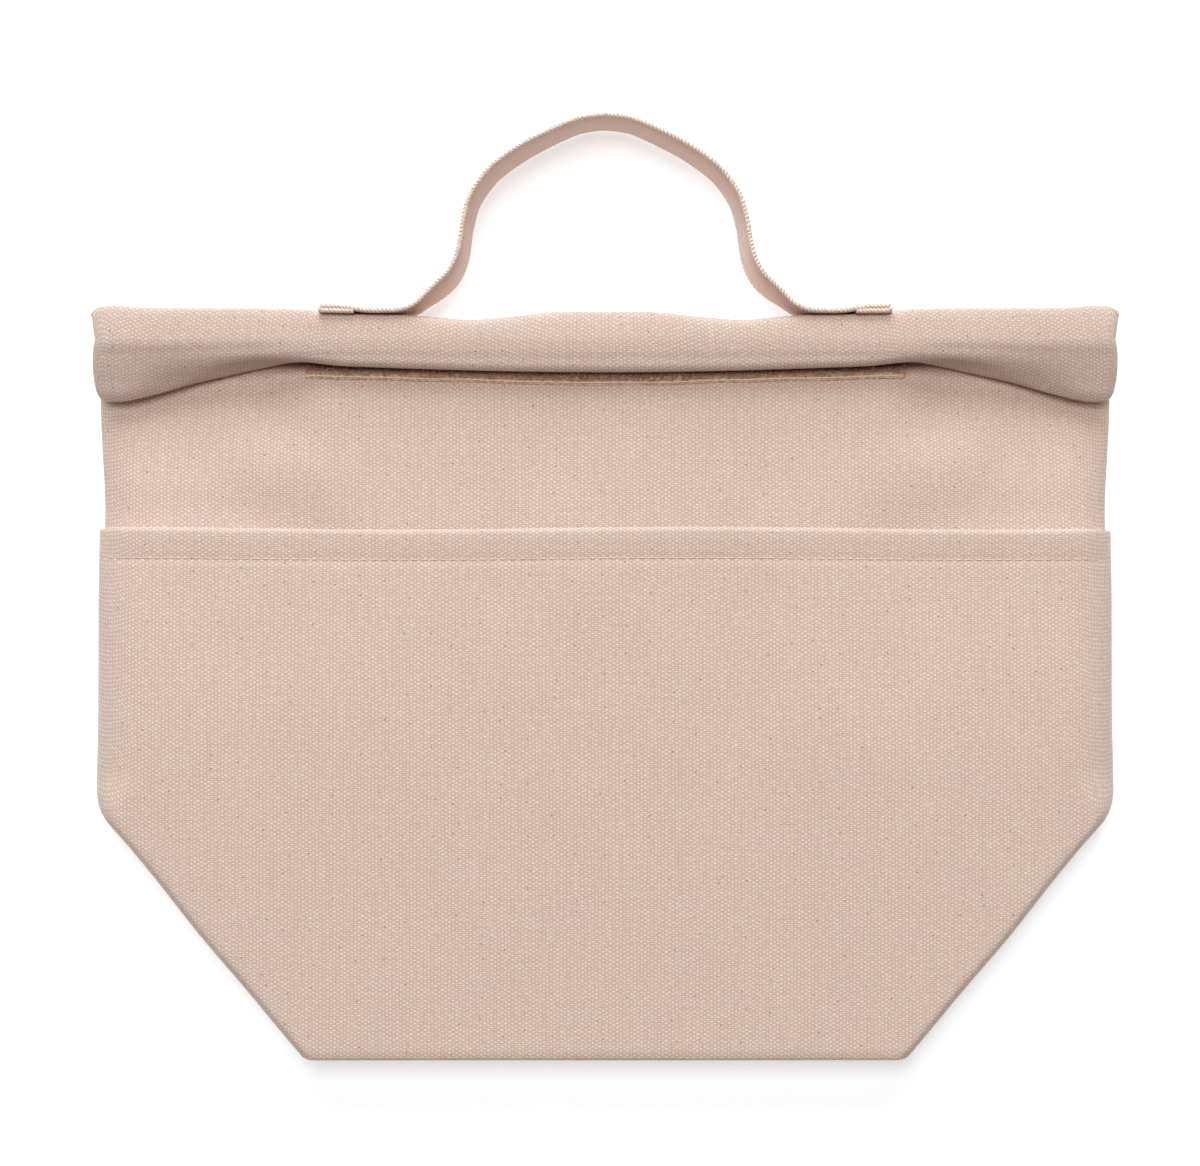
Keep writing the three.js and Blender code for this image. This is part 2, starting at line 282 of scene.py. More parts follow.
def add_node(tree, kind, inputs=None, **settings):
    """A shader node with its settings, whose inputs are numbers, colours or other outputs."""
    made = tree.nodes.new(kind)
    for name, value in settings.items():
        setattr(made, name, value)
    for socket, value in (inputs or {}).items():
        if isinstance(value, bpy.types.NodeSocket):
            tree.links.new(value, made.inputs[socket])
        else:
            made.inputs[socket].default_value = value
    return made


def calc(tree, operation, *values):
    """The output of a Math node."""
    made = add_node(tree, "ShaderNodeMath", dict(enumerate(values)), operation=operation)
    return made.outputs[0]


def step(tree, value, low, high, out_low=0.0, out_high=1.0):
    """A soft step of a value, from one range to another."""
    ends = {"From Min": low, "From Max": high, "To Min": out_low, "To Max": out_high}
    inputs = {"Value": value, **ends}
    made = add_node(tree, "ShaderNodeMapRange", inputs, interpolation_type="SMOOTHSTEP")
    return made.outputs[0]


def mix_colour(tree, share, first, second, blend="MIX"):
    """One colour laid over another by a share."""
    made = add_node(tree, "ShaderNodeMix", {"Factor": share}, data_type="RGBA", blend_type=blend)
    for socket, value in ((6, first), (7, second)):
        if isinstance(value, bpy.types.NodeSocket):
            tree.links.new(value, made.inputs[socket])
        else:
            made.inputs[socket].default_value = value
    return made.outputs[2]


def noise(tree, place, scale, detail=2.0, rough=0.5, output=0):
    """The value of a Noise node; its scale is per unit of the place."""
    inputs = {"Vector": place, "Scale": scale, "Detail": detail, "Roughness": rough}
    return add_node(tree, "ShaderNodeTexNoise", inputs).outputs[output]


def stretched(tree, place, factors):
    """A place in the cloth with its directions scaled."""
    inputs = {0: place, 1: factors}
    return add_node(tree, "ShaderNodeVectorMath", inputs, operation="MULTIPLY").outputs[0]


def cloth_place(tree):
    """The place in the cloth that a sheet's points keep, in mm."""
    return add_node(tree, "ShaderNodeAttribute", attribute_name="cloth").outputs["Vector"]


def object_place(tree):
    """The place in the piece itself, in metres."""
    return add_node(tree, "ShaderNodeTexCoord").outputs["Object"]


def add_bump(tree, shader, height, distance):
    """Fine relief from a height between 0 and 1, with its depth in metres."""
    inputs = {"Strength": 0.5, "Distance": distance, "Height": height}
    bump = add_node(tree, "ShaderNodeBump", inputs)
    tree.links.new(bump.outputs[0], shader.inputs["Normal"])


def new_material(name, rough, specular=0.5, sheen=0.0, metal=0.0):
    """A material with its finish, and its node tree and main shader."""
    material = bpy.data.materials.new(name)
    material.use_nodes = True
    shader = material.node_tree.nodes["Principled BSDF"]
    shader.inputs["Roughness"].default_value = rough
    shader.inputs["Specular IOR Level"].default_value = specular
    shader.inputs["Sheen Weight"].default_value = sheen
    shader.inputs["Metallic"].default_value = metal
    return material, material.node_tree, shader


def srgb(red, green, blue):
    """A colour as it is read off a screen, as the linear colour that a shader needs."""
    shares = np.array([red, green, blue]) / 255
    linear = np.where(shares <= 0.04045, shares / 12.92, ((shares + 0.055) / 1.055) ** 2.4)
    return (*linear.tolist(), 1.0)


# %% The canvas material
WARP_PITCH = 1.16
WEFT_PITCH = 0.70
THREAD_WANDER = 0.9
# The thread tops are painted paler as painted light, and their sides and the weft darker as painted
# shade.
THREAD_TOP_LIT = srgb(238, 226, 215)
THREAD_SIDE_SHADED = srgb(215, 187, 174)
MOTTLE_SHADES = (0.985, 1.012)
GRAIN_SHADES = (0.93, 1.05)
WEAVE_DEPTH = 0.00013
FLECKS = (
    {"spacing": 8.0, "rarity": 0.62, "paint": srgb(120, 84, 66), "strength": 0.5},
    {"spacing": 5.0, "rarity": 0.66, "paint": srgb(196, 128, 104), "strength": 0.35},
)


def threads_of(tree, place, warp_pitch, weft_pitch):
    """Plain weave: the crossing wave from -1 to 1, and the place with threads that wander."""
    cloud = noise(tree, place, 0.16, 3.0, 0.6, "Color")
    centred = {0: cloud, 1: (0.5, 0.5, 0.5)}
    drift = add_node(tree, "ShaderNodeVectorMath", centred, operation="SUBTRACT").outputs[0]
    both = {0: place, 1: stretched(tree, drift, (THREAD_WANDER, THREAD_WANDER, 0))}
    moved = add_node(tree, "ShaderNodeVectorMath", both, operation="ADD").outputs[0]
    parts = add_node(tree, "ShaderNodeSeparateXYZ", {0: moved}).outputs
    across = calc(tree, "SINE", calc(tree, "MULTIPLY", parts[0], math.pi / warp_pitch))
    along = calc(tree, "SINE", calc(tree, "MULTIPLY", parts[1], math.pi / weft_pitch))
    return calc(tree, "MULTIPLY", across, along), moved


def raised_threads(tree, crossing, moved, warp, weft):
    """How high the threads stand at a place: warp tops high, weft tops low, all uneven."""
    yarn_along = noise(tree, stretched(tree, moved, (1 / warp, 0.06, 1)), 1.0, 1.0)
    yarn_across = noise(tree, stretched(tree, moved, (0.06, 1 / weft, 1)), 1.0, 1.0)
    tuft = noise(tree, stretched(tree, moved, (0.55 / warp, 0.55 / weft, 1)), 1.0, 2.0)
    yarns = calc(tree, "MULTIPLY_ADD", calc(tree, "ADD", yarn_along, yarn_across), 0.5, -0.5)
    level = calc(tree, "MULTIPLY_ADD", tuft, 1.3, calc(tree, "SUBTRACT", yarns, 0.65))
    warp_up = step(tree, calc(tree, "ADD", crossing, level), -0.3, 1.05)
    weft_up = step(tree, calc(tree, "MULTIPLY", crossing, -1.0), 0.25, 1.0, 0.0, 0.34)
    return calc(tree, "MAXIMUM", warp_up, weft_up)


def with_flecks(tree, place, colour, spacing, rarity, paint, strength):
    """A colour with a husk fleck in a few cells of a loose pattern."""
    spots = {"Vector": stretched(tree, place, (1 / spacing, 1 / spacing, 1)), "Scale": 1.0}
    cells = add_node(tree, "ShaderNodeTexVoronoi", spots, voronoi_dimensions="2D").outputs
    near = step(tree, cells["Distance"], 0.02, 0.055, 1.0, 0.0)
    draw = add_node(tree, "ShaderNodeSeparateColor", {0: cells["Color"]}).outputs[0]
    chosen = calc(tree, "GREATER_THAN", draw, rarity)
    amount = calc(tree, "MULTIPLY", calc(tree, "MULTIPLY", near, chosen), strength)
    return mix_colour(tree, amount, colour, paint)


def canvas_material(name, top=THREAD_TOP_LIT, side=THREAD_SIDE_SHADED, warp=WARP_PITCH, weft=WEFT_PITCH):
    """Undyed cotton canvas: woven dots with painted light on the thread tops and painted shade
    between them, uneven yarn, husk flecks and a fuzzy, matt face.
    """
    material, tree, shader = new_material(name, rough=0.92, specular=0.2, sheen=0.28)
    place = cloth_place(tree)
    crossing, moved = threads_of(tree, place, warp, weft)
    raised = raised_threads(tree, crossing, moved, warp, weft)
    mottle = step(tree, noise(tree, place, 0.035, 3.0), 0.3, 0.7, *MOTTLE_SHADES)
    grain = step(tree, noise(tree, place, 1.6, 3.0, 0.7), 0.3, 0.7, *GRAIN_SHADES)
    shade = calc(tree, "MULTIPLY", mottle, grain)
    grey = add_node(tree, "ShaderNodeCombineXYZ", {0: shade, 1: shade, 2: shade}).outputs[0]
    # Painted light on the raised thread tops, painted shade on the weft and sides between them.
    colour = mix_colour(tree, 1.0, mix_colour(tree, raised, side, top), grey, "MULTIPLY")
    for fleck in FLECKS:
        colour = with_flecks(tree, moved, colour, **fleck)
    tree.links.new(colour, shader.inputs["Base Color"])
    fibre = noise(tree, place, 4.0, 3.0, 0.7)
    height = calc(tree, "ADD", raised, calc(tree, "MULTIPLY", fibre, 0.35))
    add_bump(tree, shader, height, WEAVE_DEPTH)
    return material


canvas = canvas_material("canvas")
print("canvas threads every", WARP_PITCH, "and", WEFT_PITCH, "mm")

# %% [markdown]
# ## The outline of the bag
#
# The sides run straight up from the corners of the base, where they turn in along a slant: that
# is how a boxed base looks when it is pressed flat. One function gives half the width at each
# height, and every sheet is cut to it with its own inset.

# %% Outline and edges
BASE_HALF = 101.0
CORNER_HEIGHT = 84.5
CORNER_ROUND = 3.5
SLANT = (bag_half - BASE_HALF) / CORNER_HEIGHT
SIDE_EASE = 0.6
SIDE_WAVES = ((0.3, 94, 12), (-0.2, 140, 40))
SLANT_BOW = 0.8
SLANT_WAVES = ((0.9, CORNER_HEIGHT - 4, 5),)


def waves(value, bumps):
    """The sum of some soft bumps, each given as (height, middle, width) in mm."""
    return sum(height * swell(value, middle, width) for height, middle, width in bumps)


def half_width(y, inset=0.0):
    """Half the width of the flat bag at a height, rounded where the sides turn in."""
    y = np.asarray(y, float)
    straight = bag_half + SIDE_EASE + waves(y, SIDE_WAVES)
    bow = SLANT_BOW * np.sin(np.pi * np.clip(y / CORNER_HEIGHT, 0, 1)) ** 2
    slanted = BASE_HALF + SLANT * y + bow + waves(y, SLANT_WAVES) + 0.15 * np.sin(y / 5.3)
    blend = CORNER_ROUND * SLANT
    gap = straight - slanted
    soft = slanted - np.clip(blend - gap, 0, 2 * blend) ** 2 / (4 * blend)
    width = np.where(gap <= -blend, straight, soft)
    lean = np.where(y < CORNER_HEIGHT, math.hypot(1, SLANT), 1.0)
    return width - inset * lean


def edge_share(distance, reach):
    """How much of its full height a padded sheet has at a distance from its seam."""
    q = np.clip(1 - np.asarray(distance, float) / reach, 0, 1)
    return np.sqrt(1 - q**2)


widths_shown = half_width([0, CORNER_HEIGHT, pocket_top]).round(1)
print("half width at the base, the corner and the pocket:", widths_shown)

# %% [markdown]
# ## The body of the bag
#
# Front and back are each canvas with foam and film behind it, sewn face to face and turned, so
# both curl in to one seam along the sides. The back lies flat almost to that seam, and the front
# arches over the air inside. Towards the mouth the two close up to a band of double wall, but in
# the middle the tape traps air between them, so there the front stays level up to the tape, with
# a soft valley on each side.

# %% Heights of the body along the bag
CANVAS = 0.8
STEP_START = 150
STEP_RUN = 36
TAPER_START = 190
BAND_START = 224
NECK_END = 236
SIDE_REACH = 18
BAND_REACH = 4.5
SLANT_REACH = 5
FRONT_END_REACH = 2
SEAM_GAP = 0.15
TAPE_PUFF = 7.2
PUFF_RISE = (TAPER_START + 4, BAND_START - 2)
PUFF_FALL = (229.0, 236.5)
PUFF_EDGE = (90, 118)
PUFF_AT_SIDES = 0.15
FRONT_SINK = 0.6
VALLEY_START = 123
VALLEY_LEVEL = 182
VALLEY_LEAN = 0.85
VALLEY_RUN = 42

lift = base_thickness + 0.2
body_thickness = front_level - lift


def back_face(y):
    """Height of the back wall, which lies on the folded base and then on the floor."""
    return lift * (1 - ramp(y, STEP_START, STEP_START + STEP_RUN))


def thickness(y):
    """From the back face to the front face, where no air is trapped."""
    return body_thickness - (body_thickness - band_thickness) * ramp(y, TAPER_START, BAND_START)


def tape_puff(x, y):
    """The air that the tape traps between the walls just below the roll."""
    share = 1 - (1 - PUFF_AT_SIDES) * ramp(np.abs(x), *PUFF_EDGE)
    return TAPE_PUFF * share * ramp(y, *PUFF_RISE) * (1 - ramp(y, *PUFF_FALL))


def level_fill(x, y):
    """The air that keeps the middle of the front level from the pocket up to the tape."""
    y = np.asarray(y, float)
    wanted = front_level - FRONT_SINK * ramp(y, STEP_START, PUFF_RISE[1])
    puff = TAPE_PUFF * ramp(y, *PUFF_RISE)
    missing = np.clip(wanted - back_face(y) - thickness(y) - puff, 0, None)
    valley = VALLEY_START + VALLEY_LEAN * (y - VALLEY_LEVEL)
    return missing * (y < BAND_START) * (1 - ramp(np.abs(x), valley - VALLEY_RUN, valley))


def side_reach(y):
    """How far the rounding of the side edge reaches in: less along the slant and the band."""
    slanting = 1 - ramp(y, CORNER_HEIGHT - 8, CORNER_HEIGHT + 14)
    side = SIDE_REACH - (SIDE_REACH - SLANT_REACH) * slanting
    return side - (side - BAND_REACH) * ramp(y, TAPER_START + 8, NECK_END - 3)


EDGE_STEPS = np.linspace(0, np.pi / 2, 10)
COLUMN_STEP = 3.0
column_count = 2 * int((bag_half - SIDE_REACH) / COLUMN_STEP) + 1
inner_columns = np.linspace(-1, 1, column_count)[1:-1]


def spread(width, reach):
    """Places across the bag for each row, and the share of full height at each place."""
    width, reach = np.broadcast_arrays(np.atleast_1d(width), np.atleast_1d(reach))
    edge = width[:, None] - reach[:, None] * (1 - np.cos(EDGE_STEPS))
    flat = (width - reach)[:, None] * inner_columns
    x = np.concatenate([-edge, flat, edge[:, ::-1]], 1)
    return x, edge_share(width[:, None] - np.abs(x), reach[:, None])


def end_rows(start, reach, top, step_size):
    """Heights up the bag: close together round the bottom edge, then even up to the top."""
    turn = reach * (1 - np.cos(EDGE_STEPS))
    even = np.linspace(start + reach, top, int((top - start - reach) / step_size) + 2)[1:]
    y = np.concatenate([start + turn, even])
    return y, edge_share(y - start, reach)


def threads(grid):
    """Place in the cloth of each point: along the row and along the column, in mm."""
    across = np.diff(grid, axis=1)
    along = np.diff(grid[..., 1:], axis=0)
    u = np.zeros(grid.shape[:2])
    v = np.zeros(grid.shape[:2])
    u[:, 1:] = np.cumsum(np.linalg.norm(across, axis=2), axis=1)
    u -= u[:, [grid.shape[1] // 2]]
    v[1:] = np.cumsum(np.linalg.norm(along, axis=2), axis=0)
    v += grid[:1, :, 1]
    return np.stack([u, v, np.zeros_like(u)], 2)


print("body", round(body_thickness, 1), "mm thick, band", round(band_thickness, 1), "mm")

# %% [markdown]
# ## The rolled mouth as drawn sections
#
# The mouth is rolled forward twice. In the middle the tape holds it, so its section is a round,
# firm roll. Beyond the tape the turned edge is free, springs open and sags on to the bag, which
# makes the pointed dark fold beside each end of the tape. A pattern maker would draw the section
# at a few places and pass a smooth surface through them, and so does this cell. Each section
# runs over the outside, from the neck over the top edge and the face to the edge of the mouth.

# %% Sections of the roll
RIDGE_AT = [0, 14, 30, 46, 57, 70, 84, 92, 98, 112, 150, 163, 168, 172]
RIDGE_Y = [
    250.2, 250.1, 248.6, 247.4, 248.3, 249.2, 249.5,
    249.8, 250.9, 251.3, 251.4, 252.2, 251.9, 251.0,
]
RIDGE_ROWS = [
    (-13, 0), (-7, 0), (-2.6, 1.5), (-0.5, 5.8),
    (0, 11.0), (0, 16.2), (-0.3, 20.4), (-1.7, 22.7),
]
SECTION_AT = [0, 86, 102, 114, 128, 148, 164]
FACE_ROWS = [
    [(241.6, 23.3), (237.2, 22.8), (234.2, 22.0), (231.4, 21.2),
     (229.9, 19.5), (230.3, 16.6), (232.2, 13.8), (236.6, 11.2), (241.7, 9.9)],
    [(241.6, 23.1), (237.6, 22.6), (235.3, 21.9), (233.1, 21.1),
     (231.9, 19.1), (232.2, 16.2), (233.4, 13.6), (237.0, 10.8), (241.9, 9.9)],
    [(241.6, 23.0), (237.6, 22.4), (235.6, 21.7), (234.3, 20.6),
     (233.5, 18.4), (233.5, 15.6), (234.2, 12.0), (237.6, 9.9), (242.2, 9.8)],
    [(241.2, 23.0), (237.6, 22.1), (235.2, 21.1), (234.1, 19.3),
     (233.9, 17.6), (233.4, 15.1), (232.2, 9.3), (235.0, 8.1), (241.8, 8.8)],
    [(241.0, 23.0), (237.2, 22.0), (234.6, 20.9), (232.8, 19.2),
     (231.9, 17.4), (230.9, 14.9), (229.1, 9.7), (233.4, 8.3), (241.5, 8.7)],
    [(240.4, 22.8), (236.0, 21.2), (232.4, 19.4), (229.4, 17.4),
     (226.2, 14.7), (223.8, 11.9), (224.8, 10.4), (230.6, 9.7), (240.8, 9.1)],
    [(240.6, 23.0), (235.2, 21.1), (230.4, 19.2), (226.6, 17.5),
     (222.4, 15.6), (220.5, 13.0), (221.6, 11.9), (228.8, 11.1), (240.5, 9.4)],
]
WALL_ROWS = [
    [6.5, 6.5, 6.5, 6.5, 6.5, 6.5, 6.5, 6.5, 6.5, 6.3, 5.8, 5.0, 4.8, 5.4, 6.1, 6.5, 6.5],
    [6.5, 6.5, 6.5, 6.5, 6.5, 6.5, 6.5, 6.5, 6.3, 6.0, 5.4, 4.6, 4.2, 4.6, 5.4, 6.2, 6.5],
    [6.5, 6.5, 6.5, 6.5, 6.5, 6.5, 6.5, 6.3, 6.0, 5.2, 4.2, 3.4, 3.0, 3.4, 4.6, 6.0, 6.5],
    [6.5, 6.4, 6.2, 6.0, 6.0, 5.9, 5.7, 5.5, 5.0, 4.4, 3.4, 2.4, 1.8, 2.6, 3.2, 3.6, 5.0],
    [6.5, 6.4, 6.2, 6.0, 6.0, 5.8, 5.6, 5.4, 5.0, 4.6, 4.2, 3.6, 3.0, 3.0, 3.2, 3.8, 5.0],
    [6.5, 6.3, 6.0, 5.8, 5.6, 5.4, 5.2, 5.0, 4.8, 4.5, 4.2, 3.9, 3.6, 3.2, 3.2, 3.8, 4.8],
    [6.5, 6.2, 5.9, 5.6, 5.4, 5.2, 5.0, 4.8, 4.6, 4.4, 4.2, 3.9, 3.5, 3.1, 3.0, 3.6, 4.6],
]
END_WIDTH = [
    169.8, 170.0, 170.0, 169.6, 169.4, 169.6, 170.2, 170.6, 169.3,
    170.4, 170.7, 170.6, 169.9, 169.1, 168.5, 168.3, 168.3,
]
CUT_ROWS = {"ridge": 4, "flap": 8, "turn": 13, "end": 16}


def through(knots, values, where):
    """A smooth curve through values at knots, without overshoot between them."""
    knots, values = np.asarray(knots, float), np.asarray(values, float)
    gaps = np.diff(knots)
    slopes = np.diff(values) / gaps
    before, after = slopes[:-1], slopes[1:]
    between = 2 * after * before / (after + before + 1e-12)
    tangent = np.concatenate([[0], np.where(after * before > 0, between, 0), [0]])
    where = np.clip(np.asarray(where, float), knots[0], knots[-1])
    i = np.clip(np.searchsorted(knots, where) - 1, 0, len(gaps) - 1)
    q = (where - knots[i]) / gaps[i]
    rise = (values[i + 1] - values[i]) * q * q * (3 - 2 * q)
    lean = gaps[i] * q * (1 - q) * (tangent[i] * (1 - q) - tangent[i + 1] * q)
    return values[i] + rise + lean


def between_rows(rows, u):
    """A Catmull-Rom curve over drawn rows at row numbers u, and its direction."""
    padded_rows = np.concatenate([2 * rows[:1] - rows[1:2], rows, 2 * rows[-1:] - rows[-2:-1]])
    i = np.clip(np.floor(u).astype(int), 0, len(rows) - 2)
    f = (u - i)[:, None]
    column = np.arange(len(u))
    a, b, c, d = (padded_rows[i + k, column] for k in range(4))
    linear, square, cube = c - a, 2 * a - 5 * b + 4 * c - d, 3 * b - a - 3 * c + d
    value = 0.5 * (2 * b + linear * f + square * f**2 + cube * f**3)
    slope = 0.5 * (linear + 2 * square * f + 3 * cube * f**2)
    return value, slope


def band_rows(u):
    """The rolled band at section rows u: outside points, outward direction, wall thickness
    and share of full thickness near the side edges."""
    count = np.arange(len(END_WIDTH))
    width = np.interp(u, count, END_WIDTH)
    x, share = spread(width, np.full(len(u), BAND_REACH))
    out = np.abs(x)
    ridge = through(RIDGE_AT, RIDGE_Y, out)
    y_rows = [ridge + dy for dy, _ in RIDGE_ROWS]
    z_rows = [np.full_like(out, z) for _, z in RIDGE_ROWS]
    for k in range(len(FACE_ROWS[0])):
        y_rows.append(through(SECTION_AT, [rows[k][0] for rows in FACE_ROWS], out))
        z_rows.append(through(SECTION_AT, [rows[k][1] for rows in FACE_ROWS], out))
    y_rows[0] = np.full_like(out, NECK_END)
    y_rows[1] = np.full_like(out, NECK_END + 6)
    walls = [through(SECTION_AT, [rows[k] for rows in WALL_ROWS], out) for k in count]
    y, dy = between_rows(np.stack(y_rows), u)
    z, dz = between_rows(np.stack(z_rows), u)
    wall, _ = between_rows(np.stack(walls), u)
    outside = np.stack([x, y, z], 2)
    size = np.hypot(dy, dz)
    outward = np.stack([np.zeros_like(x), dz / size, -dy / size], 2)
    return outside, outward, wall, share


def inset_band(outside, outward, wall, share, depth_out, depth_in):
    """Two faces of the band, each drawn in towards its middle at the side edges."""
    middle = wall / 2
    first = outside - outward * (middle - (middle - depth_out) * share)[..., None]
    second = outside - outward * (middle + (middle - depth_in) * share)[..., None]
    return first, second


ridge_line = band_rows(np.array([4.0]))[0][0, :, 1]
print("ridge reaches", ridge_line.min().round(1), "to", ridge_line.max().round(1))

# %% [markdown]
# ## Back and front as one cloth each
#
# The back wall runs from the bottom edge up and over the fold to the top edge of the roll, and
# the front wall follows inside it. Both cross the first fold line, where the mouth would unroll.

# %% Wall skins
EDGE_INSET = 0.9
NECK_DRAW = 0.8
ROLL_EASE = 0.7
ROWS_PER_SECTION = 5
ROW_STEP = 3.2
GROOVE_WAVES = ((0.3, 122, 10), (-1.2, 148, 16))
FOLD_WINDOWS = {
    "unroll": {"lean": (1, 1), "reach": (-2.8, 2.8)},
    "flap_fold": {"lean": (-1, 1), "reach": (-3.3, 1.2)},
    "turn_fold": {"lean": (-1, -1), "reach": (-1.5, 0.4)},
    "lip_fold": {"lean": (1, -1), "reach": (-0.1, 1.7)},
}


def edge_inset(y):
    """The walls lie just inside the pocket, are drawn in above it and wider again at the roll."""
    drawn_in = NECK_DRAW * swell(y, pocket_top + 5, 16)
    return EDGE_INSET + drawn_in - ROLL_EASE * ramp(y, pocket_top + 14, NECK_END - 12)


def body_waves(x, y):
    """Soft folds of the front below the loose ends of the roll, in mm."""
    middle = BAND_START - 6
    near_roll = ramp(y, TAPER_START - 18, middle) * (1 - ramp(y, middle, BAND_START + 2))
    return near_roll * (waves(np.abs(x), GROOVE_WAVES) + 0.15 * np.sin(x / 17))


def wall_face(side, depth):
    """One face of a wall, at a depth under its canvas: the body first and then the roll."""
    start = EDGE_INSET + depth
    y, low_share = end_rows(start, FRONT_END_REACH - depth, BAND_START, ROW_STEP)
    y = np.concatenate([y, np.linspace(BAND_START, NECK_END, 6)[1:-1]])
    low_share = np.concatenate([low_share, np.ones(len(y) - len(low_share))])
    x, share = spread(half_width(y, edge_inset(y) + depth), side_reach(y) - depth)
    rows = np.broadcast_to(y[:, None], x.shape)
    full = thickness(rows) - band_half if side > 0 else band_half
    rise = (full - depth) * share * low_share[:, None]
    if side > 0:
        rise = rise + (tape_puff(x, rows) + level_fill(x, rows) + body_waves(x, rows)) * share
    z = back_face(rows) + band_half + side * (SEAM_GAP + np.clip(rise - SEAM_GAP, 0, None))
    u = np.linspace(0, CUT_ROWS["ridge"], CUT_ROWS["ridge"] * ROWS_PER_SECTION + 1)
    outer, inner = inset_band(*band_rows(u), depth, depth)
    return np.concatenate([np.stack([x, rows, z], 2), outer if side < 0 else inner])


def bend_at(made, joint):
    """Works out a narrow window across the diagonal of a fold, which nothing uses, and sets the
    piece's transform into its points.
    """
    window = FOLD_WINDOWS[joint]
    lean = np.array([0, *window["lean"]]) / math.sqrt(2) * MM
    ends = (tuple(np.array(joint_place(joint)) + lean * reach) for reach in window["reach"])
    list(ends)
    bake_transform(made)


back_outer = wall_face(-1, 0)
back_skin = shell("back_wall", back_outer, wall_face(-1, CANVAS), threads(back_outer))
front_outer = wall_face(1, 0)
front_skin = shell("front_wall", front_outer, wall_face(1, CANVAS), threads(front_outer))
for skin in (back_skin, front_skin):
    skin.data.materials.append(canvas)
    bend_at(skin, "unroll")
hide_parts("back_panel", "neck_back_wall")
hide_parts("front_panel", "neck_front_wall")
skin_points = len(back_skin.data.vertices) + len(front_skin.data.vertices)
print("wall skins with", skin_points, "points")

# %% [markdown]
# ## The roll itself
#
# Beyond the top edge both walls are held together, so each strip between two folds is one closed
# piece. The strips meet between the folds, where nothing bends. From the crown down over the
# face the warp leans a little, which the photograph shows in the rows of dots.

# %% Strips of the roll
WARP_LEAN = 0.0015
CROWN_AT = 10
LEAN_HALF = 100

roll_rows = CUT_ROWS["end"] - CUT_ROWS["ridge"]
roll_places = np.linspace(CUT_ROWS["ridge"], CUT_ROWS["end"], roll_rows * ROWS_PER_SECTION + 1)
roll_outer, roll_inner = inset_band(*band_rows(roll_places), 0, 0)
roll_cloth = threads(roll_outer)
from_crown = roll_cloth[..., 1] - roll_cloth[:1, :, 1] - CROWN_AT
roll_cloth[..., 0] -= np.clip(roll_outer[..., 0], -LEAN_HALF, LEAN_HALF) * WARP_LEAN * from_crown


def roll_strip(name, first_row, last_row):
    """A closed strip of double wall between two rows of the sections."""
    first, last = ((row - CUT_ROWS["ridge"]) * ROWS_PER_SECTION for row in (first_row, last_row))
    rows = slice(first, last + 1)
    made = shell(name, roll_outer[rows], roll_inner[rows], roll_cloth[rows])
    made.data.materials.append(canvas)
    return made


roll_top = roll_strip("roll_top", CUT_ROWS["ridge"], CUT_ROWS["flap"])
bend_at(roll_top, "flap_fold")
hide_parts("ridge_back_wall", "ridge_front_wall")
roll_face = roll_strip("roll_face", CUT_ROWS["flap"], CUT_ROWS["turn"])
bend_at(roll_face, "turn_fold")
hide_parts("flap_back_wall", "flap_front_wall", "turn_back_wall", "turn_front_wall")
roll_edge = roll_strip("roll_edge", CUT_ROWS["turn"], CUT_ROWS["end"])
bend_at(roll_edge, "lip_fold")
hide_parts("lip_back_wall", "lip_front_wall")

# %% [markdown]
# ## The front pocket
#
# The pocket is one layer of canvas, as wide as the bag, sewn in with the side seams. Its top
# edge is turned in twice and stitched about 10 mm down, so the hem is thicker, rises a little
# towards its edge and catches the light along its fold.

# %% Pocket
POCKET_ROOM_TOP = 18.9
HEM_WIDTH = 10.6
HEM_RISE = 0.5
HEM_ROUND = 1.8
HEM_DROP = 0.35
CORNER_DROP = 0.9
SEAM_SINK = 0.2
SLACK_START = 96

hem_line = pocket_top - HEM_WIDTH


def hem_edge(x):
    """Height of the pocket's top edge, which waves a little."""
    corner = CORNER_DROP * ramp(np.abs(x), bag_half - 6, bag_half + 1)
    return pocket_top - HEM_DROP + 0.45 * np.sin(x / 31 + 0.6) - corner


def pocket_level(x, y):
    """Height of the outer face of the pocket away from its edges."""
    slack = ramp(y, SLACK_START, pocket_top) * (1.6 - 0.9 * np.cos(x / 52) - 0.4 * np.sin(x / 23 + 1))
    ripple = 0.10 * np.sin(x / 19 + y / 41) + 0.09 * np.sin(y / 23 - x / 60)
    seam = SEAM_SINK * swell(y, hem_line, 1.5)
    hem = HEM_RISE * ramp(y, hem_line - 0.5, hem_line + 8)
    return POCKET_ROOM_TOP + CANVAS - slack + ripple - seam + hem


def hem_roll(rows, depth):
    """How far the cloth lies under its level: at the turned hem and at its rounded fold."""
    thick = CANVAS + HEM_RISE * ramp(rows, hem_line - 0.3, hem_line + 1.2)
    over = np.clip((rows - pocket_top + HEM_ROUND) / HEM_ROUND, 0, 1)
    drop = HEM_ROUND * 0.85 * (1 - np.sqrt(1 - over**2))
    return np.maximum(thick, drop) if depth else np.minimum(drop, thick * 0.94)


def pocket_face(depth):
    """Outer face of the pocket at depth 0, or its inner face under the cloth."""
    y, low_share = end_rows(depth, FRONT_END_REACH - depth, hem_line - 4, 3.0)
    fold = pocket_top - HEM_ROUND * (1 - np.sin(np.linspace(0.1, np.pi / 2, 9)))
    upper = np.concatenate([np.arange(hem_line - 3.4, pocket_top - HEM_ROUND, 0.6), fold])
    y = np.concatenate([y, upper])
    low_share = np.concatenate([low_share, np.ones(len(upper))])
    x, share = spread(half_width(y, depth), side_reach(y) - depth)
    rows = np.broadcast_to(y[:, None], x.shape)
    shift = (hem_edge(x) - pocket_top) * ramp(rows, hem_line - 20, pocket_top)
    level = pocket_level(x, rows) - hem_roll(rows, depth)
    seam = back_face(rows) + band_half + SEAM_GAP
    return np.stack([x, rows + shift, seam + (level - seam) * share * low_share[:, None]], 2)


